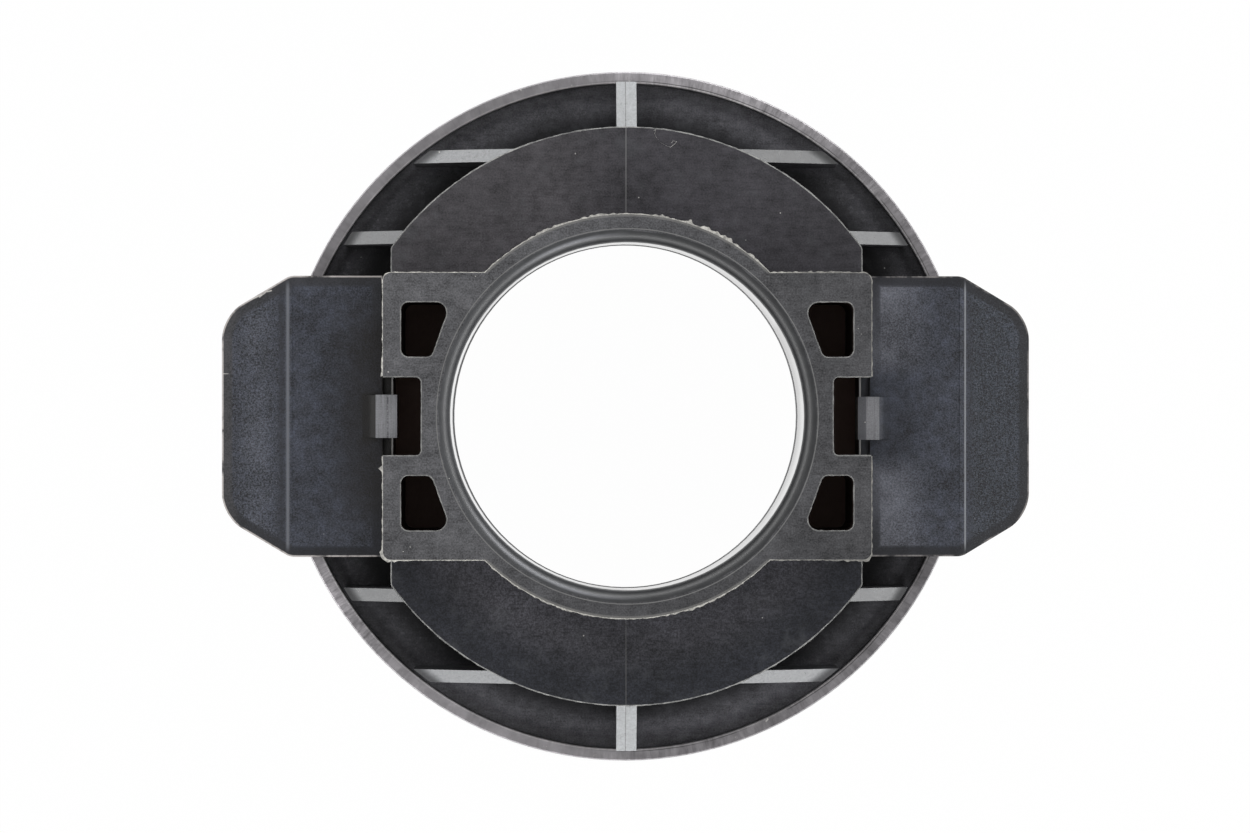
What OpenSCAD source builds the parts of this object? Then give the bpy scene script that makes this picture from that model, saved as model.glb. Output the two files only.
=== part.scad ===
// Self-centring clutch release bearing on a moulded guide sleeve.
// The bore axis is Z. The thrust face lies at z = 0 and the sleeve's rear end face looks along +Z.
// The two fork plates reach out along X.

/* [Guide sleeve] */
// Bore that slides on the gearbox guide tube, diameter
bore_d = 33.2; // [30:0.1:37]
// Wall between the bore and the outside of the tube
tube_wall = 2.3; // [2:0.05:2.7]
// Radius that leads into the bore from the end face
lead_round = 1.15; // [0.6:0.05:1.2]
// Height from the thrust face to the rear end face
total_h = 40; // [38:0.25:44]
// How far each lug reaches past the tube
lug_reach = 3.93; // [3.7:0.01:4.4]
// Thickness of the lugs above the fork plates
lug_t = 5.3; // [4.8:0.1:5.8]
// Depth of the drum face below the end face
drum_drop = 3; // [2.6:0.1:3.4]
// Thickness of the ribs that run along X
rib_t = 1.24; // [1:0.02:1.6]
// Thickness of the web on the parting plane
web_t = 1.92; // [1.6:0.02:2.4]

/* [Fork plates] */
// Sheet thickness of the fork plates
plate_t = 2; // [1.6:0.1:2.2]
// Width of a fork plate along Y
plate_w = 26.7; // [25.5:0.1:27.5]
// How far a fork plate reaches past the cup
wing_reach = 5.24; // [4.6:0.02:6]
// Angle by which the outer end of a fork plate is bent forward
bend_angle = 8; // [5:0.5:12]
// Width of the bent-up tab along Y
tab_w = 4.05; // [3.6:0.05:4.4]

/* [Bearing] */
// Ball diameter
ball_d = 6.35; // [6:0.05:6.6]
// Number of balls
ball_n = 18; // [14:1:18]
// Radial wall of the rings behind the raceways
race_wall = 1.5; // [1.35:0.05:1.65]
// Travel of the self-centring float, to each side
float_travel = 0.4; // [0.2:0.05:0.45]
// Width of the outer ring's sliding flange
flange_w = 3.5; // [3.2:0.1:4.1]

/* [Cup] */
// Sheet thickness of the retaining cup
cup_t = 1.15; // [0.9:0.05:1.3]

/* [Hidden] */
$fn = 96;
ball_names = [for (i = [1 : ball_n]) str("ball_", i < 10 ? "0" : "", i)];

// Small clearances
hair = 0.05;
race_gap = 0.025;
cut = 1;

// Radii of the bearing, from the bore outwards
bore_r = bore_d / 2;
tube_r = bore_r + tube_wall;
ring_clear = 1.9;
ring_bore_r = bore_r + ring_clear;
pitch_r = ring_bore_r + race_wall + race_gap + ball_d / 2;
race_r = ball_d / 2 + race_gap;
inner_race_r = pitch_r - race_r;
outer_race_r = pitch_r + race_r;
body_r = outer_race_r + race_wall;
flange_r = body_r + flange_w;
float_spare = 0.15;
float_gap = sqrt(2) * float_travel + float_spare;
cup_ri = flange_r + float_gap;
cup_ro = cup_ri + cup_t;
lip_r = body_r + float_gap + 0.1;
front_shoulder_r = pitch_r - 0.8;
front_seat_r = outer_race_r + hair;
rear_shoulder_r = pitch_r + 1.2;
rear_seat_r = rear_shoulder_r + 1.3;
ring_tail_r = inner_race_r - hair;

// Heights, from the end face down to the nose of the thrust ring
plate_top_z = total_h - lug_t;
shelf_z = plate_top_z - plate_t;
shelf_h = 3.7;
floor_z = shelf_z - shelf_h;
base_t = 4;
base_z = floor_z - base_t;
flange_t = 2.35;
flange_top_z = base_z - hair;
flange_front_z = flange_top_z - flange_t;
spring_room = 2.5;
lip_z = flange_front_z - spring_room - cup_t;
ring_top_z = base_z - 4.5;
seal_seat_z = ring_top_z - 1;
ball_z = base_z - 12;
nose_h = ball_z - 7.5;
body_front_z = nose_h + 1;
rim_z = floor_z + 1;

// Rolled bead of the cup in the groove of the base flange
bead_z = floor_z - base_t / 2;
bead_r = 1;
bead_depth = 0.45;
bead_gap = 0.1;

// Guide sleeve above the base flange
base_r = cup_ri - 0.1;
drum_z = total_h - drum_drop;
drum_t = 2.3;
drum_r = cup_ro - 6;
drum_round = 0.75;
corner_ease = 0.01;
lug_x = tube_r + lug_reach;
lug_y = plate_w / 2 + hair;
lug_round = 0.75;
tuck = 0.67;
tuck_step = 0.25;
flat_x = lug_x - tuck;
notch_x = tube_r + 0.3;
notch_y = 3.74;
pocket_round = 0.8;
pocket_tip_round = 1.1;
notch_round = 0.6;
pocket_floor_z = floor_z + 1;
exit_flare = 0.5;
exit_h = 3;
rib_end_r = base_r - 0.5;
web_end_r = base_r - 0.05;
rib_high_z = drum_z - 1.2;
rib_low_z = rib_high_z - 2.3;
rib_rows = [drum_r - 10.3, drum_r - 2.54];

// Fork plates
bend_x = cup_ro - 1.05;
wing_x = cup_ro + wing_reach;
plate_y = plate_w / 2;
chamfer_y = 3.81;
chamfer_round = 1.5;
wing_round = 3.8;
edge_round = 0.4;
tab_round = 0.9;
tab_x = flat_x + 1.44;
tab_top_z = total_h - 1.4;
slit_w = 0.1;
slit_x = tab_x + tab_round + 0.4;

// Colours as the photograph shows them
black_plastic = [0.27, 0.27, 0.28];
dark_steel = [0.27, 0.28, 0.31];
bare_steel = [0.55, 0.55, 0.55];
race_steel = [0.72, 0.72, 0.72];
rubber = [0.12, 0.12, 0.12];
cage_brown = [0.45, 0.35, 0.22];

// Rounded outlines: each corner of a convex outline, listed anticlockwise, becomes an arc.
function unit(v) = v / norm(v);
function corner_in(p, i) = unit(p[i] - p[(i + len(p) - 1) % len(p)]);
function corner_out(p, i) = unit(p[(i + 1) % len(p)] - p[i]);
function turn_tan(a, b) = tan(acos(min(1, a * b)) / 2);
function arc_start(p, r, i) = p[i] - corner_in(p, i) * r[i] * turn_tan(corner_in(p, i), corner_out(p, i));
function arc_end(p, r, i) = p[i] + corner_out(p, i) * r[i] * turn_tan(corner_in(p, i), corner_out(p, i));
function left_of(v) = [-v[1], v[0]];
function arc_centre(p, r, i) = arc_start(p, r, i) + left_of(corner_in(p, i)) * r[i];

module rounded(p, r) {
    polygon([for (i = [0 : len(p) - 1], j = [0, 1]) j == 0 ? arc_start(p, r, i) : arc_end(p, r, i)]);
    for (i = [0 : len(p) - 1])
        translate(arc_centre(p, r, i)) circle(r[i]);
}

module rounded_box(x, y, r) {
    rounded([[-x, -y], [x, -y], [x, y], [-x, y]], [r, r, r, r]);
}

module slab(z0, z1) {
    translate([0, 0, z0]) linear_extrude(z1 - z0) children();
}

module ring_at(r, z, tube) {
    rotate_extrude() translate([r, z]) circle(tube);
}

module turned(points) {
    rotate_extrude() polygon(points);
}

module four_ways() {
    for (sx = [0, 1], sy = [0, 1])
        mirror([sx, 0, 0]) mirror([0, sy, 0]) children();
}

module both_sides() {
    for (side = [0, 1])
        mirror([side, 0, 0]) children();
}

// Core-out of a lug: a trapezoid whose inner side leans along the tube.
module lug_pocket() {
    outer_x = lug_x - 1.58;
    low_y = notch_y + 1.72;
    high_y = lug_y - 2.64;
    corners = [[notch_x - 0.95, low_y], [outer_x, low_y], [outer_x, high_y], [notch_x - 2.85, high_y]];
    rounded(corners, [pocket_round, pocket_round, pocket_round, pocket_tip_round]);
}

// Recess in the end of a lug, open to the outside, where the tab of the fork plate stands.
module lug_notch() {
    end_x = lug_x + cut;
    corners = [[notch_x, -notch_y], [end_x, -notch_y], [end_x, notch_y], [notch_x, notch_y]];
    rounded(corners, [notch_round, edge_round, edge_round, notch_round]);
}

module lug_outline() {
    rounded_box(lug_x, lug_y, lug_round);
}

// The drum is a disc with two flats. The arcs of its corners are a touch too large, so they cross their neighbours.
module drum_outline() {
    corner_x = flat_x - drum_round;
    corner_y = sqrt((drum_r - drum_round) ^ 2 - corner_x ^ 2);
    corner = [corner_x, corner_y];
    far = drum_r - corner_y;
    difference() {
        intersection() {
            circle(drum_r);
            square([2 * flat_x, 4 * drum_r], center = true);
        }
        four_ways() difference() {
            polygon([corner, corner + [far, 0], corner + [far, far], corner + unit(corner) * far]);
            translate(corner) circle(drum_round + corner_ease);
        }
    }
}

// Ribs along X and the web on the parting plane, with outer ends that slope down to the rim.
module sleeve_ribs() {
    intersection() {
        slab(floor_z - cut, rib_high_z)
            for (y = rib_rows, side = [-1, 1])
                translate([0, side * y]) square([4 * drum_r, rib_t], center = true);
        turned([[0, 0], [rib_end_r, 0], [rib_end_r, rib_low_z], [drum_r, rib_high_z], [0, rib_high_z]]);
    }
    intersection() {
        slab(floor_z - cut, rib_high_z) square([web_t, 4 * drum_r], center = true);
        turned([[0, 0], [web_end_r, 0], [web_end_r, rib_low_z], [drum_r, rib_high_z], [0, rib_high_z]]);
    }
}

module guide_sleeve() {
    color(black_plastic) difference() {
        union() {
            translate([0, 0, base_z]) cylinder(h = floor_z - base_z, r = base_r);
            translate([0, 0, base_z]) cylinder(h = total_h - base_z, r = tube_r);
            slab(drum_z - drum_t, drum_z) drum_outline();
            slab(plate_top_z - tuck_step, total_h) lug_outline();
            slab(floor_z - cut, drum_z) square(2 * [flat_x, plate_y], center = true);
            slab(floor_z - cut, shelf_z) intersection() {
                square(2 * [bend_x, plate_y], center = true);
                circle(base_r - hair);
            }
            sleeve_ribs();
        }
        translate([0, 0, base_z - cut]) cylinder(h = total_h - base_z + 2 * cut, r = bore_r);
        rotate_extrude() difference() {
            translate([bore_r - cut, total_h - lead_round]) square([lead_round + cut, lead_round + cut]);
            translate([bore_r + lead_round, total_h - lead_round]) circle(lead_round);
        }
        translate([0, 0, base_z]) cylinder(h = exit_h, r1 = bore_r + exit_flare, r2 = bore_r);
        four_ways() slab(pocket_floor_z, total_h + cut) lug_pocket();
        both_sides() slab(pocket_floor_z + 0.5, total_h + cut) intersection() {
            lug_notch();
            translate([0, -2 * notch_y]) square([flat_x, 4 * notch_y]);
        }
        both_sides() slab(shelf_z, total_h + cut) lug_notch();
        ring_at(cup_ri + bead_r - bead_depth, bead_z, bead_r + bead_gap);
    }
}

// Plan of a fork plate on the +X side.
module plate_outline() {
    chamfer_x = bend_x - 0.25;
    corners = [
        [flat_x, -plate_y], [chamfer_x, -plate_y], [wing_x, chamfer_y - plate_y],
        [wing_x, plate_y - chamfer_y], [chamfer_x, plate_y], [flat_x, plate_y]
    ];
    rounded(corners, [edge_round, chamfer_round, wing_round, wing_round, chamfer_round, edge_round]);
}

// Section of the bent sheet in the XZ plane, with the strip that is tucked under the lug set down a little.
module plate_section() {
    drop = (wing_x - bend_x) * tan(bend_angle);
    strip_x = lug_x + 0.35;
    polygon([
        [flat_x, shelf_z], [bend_x, shelf_z], [wing_x, shelf_z - drop], [wing_x, plate_top_z - drop],
        [bend_x, plate_top_z], [strip_x, plate_top_z], [strip_x, plate_top_z - tuck_step],
        [flat_x, plate_top_z - tuck_step]
    ]);
}

// Section of the tab: a square bend up from the sheet.
module tab_section() {
    bend_centre_x = tab_x + tab_round;
    bend_centre_z = plate_top_z + tab_round;
    intersection() {
        translate([bend_centre_x, bend_centre_z]) difference() {
            circle(tab_round + plate_t);
            circle(tab_round);
        }
        translate([tab_x - plate_t, shelf_z]) square(tab_round + plate_t);
    }
    translate([tab_x - plate_t, bend_centre_z]) square([plate_t, tab_top_z - bend_centre_z]);
    translate([bend_centre_x, shelf_z]) square([slit_x - bend_centre_x, plate_t]);
}

module along_y(width) {
    rotate([90, 0, 0]) translate([0, 0, -width / 2]) linear_extrude(width) children();
}

// The tab is lanced out of the sheet, with a slit at each side.
module fork_plate() {
    difference() {
        intersection() {
            slab(shelf_z - wing_reach, plate_top_z + cut) plate_outline();
            along_y(plate_w + 2 * cut) plate_section();
        }
        slab(shelf_z - cut, plate_top_z + cut) translate([0, -tab_w / 2 - slit_w])
            square([slit_x, tab_w + 2 * slit_w]);
    }
    along_y(tab_w) tab_section();
}

module fork_plate_right() {
    color(dark_steel) fork_plate();
}

module fork_plate_left() {
    color(dark_steel) mirror([1, 0, 0]) fork_plate();
}

// Drawn cup: its sheared edge is the rim seen from the rear, its lip holds the disc spring.
module retaining_cup() {
    draw_r = 1.6;
    color(bare_steel) difference() {
        union() {
            rotate_extrude() difference() {
                union() {
                    translate([lip_r, lip_z]) square([cup_ro - draw_r - lip_r, rim_z - lip_z]);
                    translate([lip_r, lip_z + draw_r]) square([cup_ro - lip_r, rim_z - lip_z - draw_r]);
                    translate([cup_ro - draw_r, lip_z + draw_r]) circle(draw_r);
                }
                translate([0, lip_z + cup_t]) square([cup_ri, rim_z]);
            }
            intersection() {
                ring_at(cup_ri + bead_r - bead_depth, bead_z, bead_r);
                translate([0, 0, lip_z]) cylinder(h = rim_z - lip_z, r = cup_ri + cup_t / 2);
            }
        }
        ring_at(cup_ro + bead_r - bead_depth, bead_z, bead_r);
    }
}

module disc_spring() {
    spring_t = 0.65;
    foot_r = flange_r - 0.1;
    head_r = body_r + float_gap + 0.2;
    foot_z = lip_z + cup_t + hair;
    head_z = flange_front_z - hair;
    color(race_steel) turned([
        [foot_r, foot_z], [foot_r, foot_z + spring_t], [head_r, head_z], [head_r, head_z - spring_t]
    ]);
}

module outer_ring() {
    color(race_steel) difference() {
        turned([
            [front_seat_r, body_front_z], [body_r, body_front_z], [body_r, flange_front_z],
            [flange_r, flange_front_z], [flange_r, flange_top_z], [rear_seat_r, flange_top_z],
            [rear_seat_r, seal_seat_z], [rear_shoulder_r, seal_seat_z], [rear_shoulder_r, ball_z],
            [front_seat_r, ball_z]
        ]);
        ring_at(pitch_r, ball_z, race_r);
    }
}

// Rotating ring: its nose flange carries the flat face that the diaphragm fingers press on.
module thrust_ring() {
    nose_r = body_r - 0.8;
    inner_round = min(2.4, nose_h / 2);
    outer_round = min(1.5, nose_h / 3);
    flat_r = ring_bore_r + inner_round;
    edge_r = nose_r - outer_round;
    color(race_steel) difference() {
        rotate_extrude() {
            translate([ring_bore_r, inner_round])
                square([ring_tail_r - ring_bore_r, ring_top_z - inner_round]);
            translate([ring_bore_r, inner_round])
                square([front_shoulder_r - ring_bore_r, ball_z - inner_round]);
            translate([flat_r, 0]) square([edge_r - flat_r, nose_h]);
            translate([front_shoulder_r - cut, outer_round])
                square([nose_r - front_shoulder_r + cut, nose_h - outer_round]);
            translate([flat_r, inner_round]) circle(inner_round);
            translate([edge_r, outer_round]) circle(outer_round);
        }
        ring_at(pitch_r, ball_z, race_r);
    }
}

module ball(i) {
    color(race_steel) rotate([0, 0, i * 360 / ball_n]) translate([pitch_r, 0, ball_z]) sphere(d = ball_d);
}

module ball_cage() {
    pocket_r = ball_d / 2 + 0.12;
    lean = 1.5;
    half_t = 1.1;
    rise = 4;
    fall = 3.8;
    color(cage_brown) difference() {
        turned([
            [pitch_r - lean - half_t, ball_z + rise], [pitch_r - lean + half_t, ball_z + rise],
            [pitch_r + lean + half_t, ball_z - fall], [pitch_r + lean - half_t, ball_z - fall]
        ]);
        for (i = [0 : ball_n - 1])
            rotate([0, 0, i * 360 / ball_n]) translate([pitch_r, 0, ball_z]) sphere(r = pocket_r);
    }
}

// Seal in the front mouth of the outer ring, with its lip just off the thrust ring's shoulder.
module front_seal() {
    lip_r0 = front_shoulder_r + 0.15;
    lip_r1 = lip_r0 + 0.6;
    rim_r = front_seat_r - 0.9;
    z0 = body_front_z + 0.5;
    lip_z0 = z0 + 0.9;
    web_z = z0 + 1.1;
    z1 = z0 + 1.5;
    color(rubber) turned([
        [front_seat_r, z0], [front_seat_r, z1], [rim_r, z1], [lip_r1, web_z], [lip_r0, z1],
        [lip_r0, lip_z0], [lip_r1, z0]
    ]);
}

// Seal in the rear seat of the outer ring, with its lip just off the thrust ring's tail.
module rear_seal() {
    lip_r0 = ring_tail_r + 0.2;
    lip_r1 = lip_r0 + 0.5;
    collar_r = rear_seat_r - 0.8;
    z0 = seal_seat_z;
    lip_z0 = z0 + 0.2;
    lip_z1 = z0 + 0.8;
    web_z = z0 + 1.2;
    z1 = z0 + 2;
    color(rubber) turned([
        [rear_seat_r, z0], [rear_seat_r, z1], [collar_r, z1], [collar_r, web_z], [lip_r1, web_z],
        [lip_r0, lip_z1], [lip_r0, lip_z0], [lip_r1, z0]
    ]);
}

guide_sleeve();
fork_plate_left();
fork_plate_right();
retaining_cup();
disc_spring();
outer_ring();
thrust_ring();
ball_cage();
front_seal();
rear_seal();
for (i = [0 : ball_n - 1])
    ball(i);
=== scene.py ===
import math

import bmesh
import bpy
from mathutils import Matrix, Vector, noise


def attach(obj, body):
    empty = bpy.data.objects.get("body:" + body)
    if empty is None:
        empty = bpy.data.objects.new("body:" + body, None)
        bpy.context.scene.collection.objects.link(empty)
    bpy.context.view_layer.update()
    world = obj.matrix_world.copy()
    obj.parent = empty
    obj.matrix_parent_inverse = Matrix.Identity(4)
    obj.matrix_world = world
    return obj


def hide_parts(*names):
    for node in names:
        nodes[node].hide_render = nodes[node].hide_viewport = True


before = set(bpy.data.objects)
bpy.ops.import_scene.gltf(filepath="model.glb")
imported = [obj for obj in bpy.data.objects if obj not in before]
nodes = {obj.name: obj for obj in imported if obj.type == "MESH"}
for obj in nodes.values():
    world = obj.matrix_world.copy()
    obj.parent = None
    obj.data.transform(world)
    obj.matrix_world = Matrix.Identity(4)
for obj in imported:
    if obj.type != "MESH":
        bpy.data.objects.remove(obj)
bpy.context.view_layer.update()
scene = bpy.context.scene

# Sizes, in metres, as the part's source has them
MM = 0.001
END_Z = 40.0 * MM
DRUM_Z = 37.0 * MM
PLATE_TOP_Z = 34.7 * MM
PLATE_T = 2.0 * MM
PLATE_Y = 13.35 * MM
FLAT_X = 22.16 * MM
STRIP_X = 23.18 * MM
BEND_X = 32.216 * MM
WING_X = 38.506 * MM
BEND = math.radians(8)
CHAMFER_Y = 3.81 * MM
TAB_X = 23.6 * MM
TAB_Y = 2.025 * MM
TAB_ROUND = 0.9 * MM
SLIT = 0.03 * MM
RIM_Z = 30.0 * MM
TAB_TOP_Z = 38.6 * MM
BORE_R = 16.6 * MM
LEAD_ROUND = 1.15 * MM
TUBE_R = 18.9 * MM
LUG_X = 22.83 * MM
LUG_Y = 13.35 * MM
DRUM_R = 27.27 * MM
# The bore came out of its mould a little oval at the end face
OVAL = 0.0165

# The levels of the faces in millimetres, as the finishes use them
END, DRUM, RIM, LEAD = (level / MM for level in (END_Z, DRUM_Z, RIM_Z, END_Z - LEAD_ROUND))

# Limits for the mesh work: what merges, lies level, counts as flat, shades smooth or is a sharp edge
MERGE = 2e-6
LEVEL = 0.02 * MM
FACES_UP = 0.9999
FLAT = math.radians(1.0)
SMOOTH = math.radians(24)
SHARP = math.radians(35)


# Shader maths

class Value:
    """A socket of a finish. Sums and products on it add Math nodes."""

    def __init__(self, finish, socket):
        self.finish = finish
        self.socket = socket

    def math(self, operation, *terms):
        return self.finish.node("ShaderNodeMath", {"operation": operation}, dict(enumerate(terms)))

    def __add__(self, other):
        return self.math("ADD", self, other)

    def __radd__(self, other):
        return self.math("ADD", other, self)

    def __sub__(self, other):
        return self.math("SUBTRACT", self, other)

    def __rsub__(self, other):
        return self.math("SUBTRACT", other, self)

    def __mul__(self, other):
        return self.math("MULTIPLY", self, other)

    def __rmul__(self, other):
        return self.math("MULTIPLY", other, self)

    def __truediv__(self, other):
        return self.math("DIVIDE", self, other)

    def __pow__(self, other):
        return self.math("POWER", self, other)

    def __abs__(self):
        return self.math("ABSOLUTE", self)

    def most(self, other):
        return self.math("MAXIMUM", self, other)

    def least(self, other):
        return self.math("MINIMUM", self, other)


class Finish:
    """A material under construction. Places are in millimetres of the object's own frame."""

    def __init__(self, name, **constants):
        self.material = bpy.data.materials.new(name)
        self.material.use_nodes = True
        self.tree = self.material.node_tree
        self.shader = self.tree.nodes["Principled BSDF"]
        for socket, value in constants.items():
            self.shader.inputs[socket.replace("_", " ")].default_value = value
        self.place = self.scaled(self.node("ShaderNodeTexCoord", output="Object"), 1 / MM)
        self.x, self.y, self.z = self.split(self.place)
        self.nz = self.split(self.node("ShaderNodeTexCoord", output="Normal"))[2]
        self.r = (self.x * self.x + self.y * self.y) ** 0.5

    def node(self, kind, settings=None, sockets=None, output=0):
        made = self.tree.nodes.new(kind)
        for key, value in (settings or {}).items():
            setattr(made, key, value)
        for key, value in (sockets or {}).items():
            if isinstance(value, Value):
                self.tree.links.new(value.socket, made.inputs[key])
            else:
                made.inputs[key].default_value = value
        return Value(self, made.outputs[output])

    def split(self, vector):
        made = self.node("ShaderNodeSeparateXYZ", None, {0: vector})
        return [Value(self, socket) for socket in made.socket.node.outputs]

    def join(self, x, y, z):
        return self.node("ShaderNodeCombineXYZ", None, {0: x, 1: y, 2: z})

    def scaled(self, vector, scale):
        return self.node("ShaderNodeVectorMath", {"operation": "SCALE"}, {0: vector, "Scale": scale})

    def turn(self):
        """The angle round the axis, in radians."""
        return self.node("ShaderNodeMath", {"operation": "ARCTAN2"}, {0: self.y, 1: self.x})

    def noise(self, scale, detail=2.0, roughness=0.5, at=None):
        return self.node("ShaderNodeTexNoise", None, {
            "Vector": at or self.place, "Scale": scale, "Detail": detail, "Roughness": roughness})

    def cells(self, scale):
        return self.node("ShaderNodeTexVoronoi", None, {"Vector": self.place, "Scale": scale})

    def ease(self, value, low, high):
        """0 below low, 1 above high, smooth between; low may lie above high."""
        return self.node("ShaderNodeMapRange", {"interpolation_type": "SMOOTHSTEP"}, {
            "Value": value, "From Min": low, "From Max": high})

    def band(self, value, low, high, soft):
        """1 between low and high, 0 outside, with soft edges."""
        return self.ease(value, low - soft, low + soft) * self.ease(value, high + soft, high - soft)

    def stroke(self, start, end, width):
        """1 on a short scratch between two places in plan, in millimetres, 0 off it."""
        run = Vector(end) - Vector(start)
        across, up = self.x - start[0], self.y - start[1]
        share = ((across * run.x + up * run.y) / run.length_squared).most(0.0).least(1.0)
        aside = ((across - share * run.x) ** 2.0 + (up - share * run.y) ** 2.0) ** 0.5
        return self.ease(aside + 0.1 * self.noise(3.0) - 0.05, width, width * 0.4)

    def mix(self, share, a, b):
        return self.node("ShaderNodeMix", {"data_type": "RGBA"}, {
            0: share, 6: colour(a), 7: colour(b)}, output=2)

    def shade(self, tint, level):
        """A colour made lighter or darker by a varying level."""
        grey = self.node("ShaderNodeCombineColor", None, {0: level, 1: level, 2: level})
        return self.node("ShaderNodeMix", {"data_type": "RGBA", "blend_type": "MULTIPLY"}, {
            0: 1.0, 6: colour(tint), 7: grey}, output=2)

    def bump(self, height, depth):
        """Relief whose full height is depth millimetres."""
        return self.node("ShaderNodeBump", None, {"Height": height, "Strength": 1.0, "Distance": depth * MM})

    def wear(self, **links):
        """Links the varying inputs of the shader and gives the finished material."""
        for socket, value in links.items():
            self.tree.links.new(value.socket, self.shader.inputs[socket.replace("_", " ")])
        return self.material


def colour(value):
    """A colour for a Mix node: a socket as it is, or red, green and blue with full alpha."""
    return value if isinstance(value, Value) else (*value, 1.0)


# Finishes. Numbers beside a place are millimetres, and tones are linear red, green and blue.

def specks(f, scale, size, share):
    """Sparse dots: the cells nearest to their own centres, thinned out by a coarse pattern."""
    dots = f.ease(f.cells(scale), size, size * 0.4)
    return dots * f.ease(f.noise(scale * 0.31, 1.0), share, share + 0.04)


# Tones of the black moulding, with the painted light and shade on it
BODY_BLACK = (0.055, 0.055, 0.060)
END_FACE = (0.080, 0.080, 0.085)
DRUM_RIGHT = (0.045, 0.043, 0.049)
DRUM_LEFT = (0.056, 0.053, 0.058)
DRUM_BELOW = (0.0225, 0.0225, 0.0265)
DRUM_BELOW_EDGE = (0.008, 0.010, 0.015)
POCKET_SHADE_BY_DRUM = (0.012, 0.012, 0.014)
POCKET_BY_RIM = (0.088, 0.087, 0.097)
POCKET_GRIME = (0.15, 0.149, 0.162)
POCKET_LIGHT_BY_RIM = (0.17, 0.168, 0.18)
CORE_WALL = (0.035, 0.026, 0.023)
CORE_FLOOR_PAINTED_LIGHT = (0.52, 0.36, 0.31)
PALE_HAZE = (0.10, 0.104, 0.112)
SEAM_GREY = (0.22, 0.22, 0.22)
STEP_GREY = (0.21, 0.21, 0.207)
LIP_GREY = (0.23, 0.226, 0.216)
SPECK_PALE = (0.6, 0.59, 0.57)


def pocket_floor(f, tint):
    """The floor between the ribs: painted shade, darkest beside the drum and paler towards the cup's rim,
    painted light to the right and below, grime, and more painted light along the rim.
    """
    floor = f.ease(f.z, RIM, RIM - 0.5) * f.ease(f.nz, 0.8, 0.95)
    # painted light: the floor is painted lighter to the right and below
    lit = 1 + 0.22 * f.ease(f.x, -4.0, 8.0) + 0.14 * f.ease(f.y, 4.0, -4.0)
    # painted shade under the drum's overhang: darkest beside the drum, paler towards the rim
    across = f.mix(f.ease(f.r, 27.8, 30.6), POCKET_SHADE_BY_DRUM, f.shade(POCKET_BY_RIM, lit))
    tint = f.mix(floor, tint, across)
    # painted shade: the floor is painted darker except in the top and bottom compartments
    tint = f.shade(tint, 1 - 0.4 * floor * f.ease(abs(f.y), 24.4, 23.2))
    grime = f.ease(f.noise(2.6, 4.0, 0.7), 0.48, 0.75) * f.ease(f.r, 28.0, 30.5)
    tint = f.mix(floor * grime * 0.6, tint, POCKET_GRIME)
    # painted light: the floor is painted paler beside the cup's rim, against the shade of the rim's step
    return f.mix(floor * f.ease(f.r, 31.0, 31.8) * 0.7, tint, POCKET_LIGHT_BY_RIM)


def drum_face(f, tint, drum, lower):
    """The drum's disc: warmer on the left, darker on its lower half, and painted paler beside the tube as
    painted light.
    """
    left = f.ease(f.x, 2.0, -8.0)
    tint = f.mix(drum, tint, f.mix(left, DRUM_RIGHT, DRUM_LEFT))
    tint = f.mix(lower * 0.85, tint, DRUM_BELOW)
    tint = f.mix(lower * f.ease(f.r, 21.5, 26.0) * 0.6, tint, DRUM_BELOW_EDGE)
    # painted light: the disc is painted paler beside the tube, against the shade of the tube's wall
    painted_light_by_tube = drum * f.ease(f.r, 26.0, 19.5)
    return f.shade(tint, 1 + painted_light_by_tube * (0.3 + 0.5 * lower + 0.25 * left))


def moulding_marks(f, base, end, lower):
    """Brown core-outs with painted light on their deep floors, the seam on the parting plane, the step round
    the lead-in and the tube's pale lip.
    """
    in_lug = f.band(abs(f.x), 16.0, 22.7, 0.1) * f.ease(abs(f.y), 12.7, 12.5)
    cored = in_lug * f.ease(f.z, END - 0.2, END - 0.7)
    deep = f.ease(f.z, END - 1.5, END - 3.5) * f.ease(f.nz, 0.3, 0.7)
    # the core-outs' brown is their own; their deep floors are painted pale as painted light in the recess
    base = f.mix(cored, base, f.mix(deep, CORE_WALL, CORE_FLOOR_PAINTED_LIGHT))
    seam = f.band(f.x, -0.13, -0.05, 0.035) * f.band(f.z, DRUM - 0.2, DRUM + 0.2, 0.1)
    base = f.mix(seam * (0.8 - 0.45 * lower), base, SEAM_GREY)
    lead_r = (f.x ** 2.0 + (f.y / (1 - OVAL)) ** 2.0) ** 0.5
    step = f.band(lead_r, 17.81, 17.89, 0.03) * end
    base = f.mix(step * (0.45 + 0.9 * f.noise(0.5, 2.0)).least(1.0), base, STEP_GREY)
    lip = f.band(f.r, 18.7, 18.95, 0.07) * end * f.ease(abs(f.y), 13.2, 13.6)
    return f.mix(lip * 0.55, base, LIP_GREY)


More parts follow.
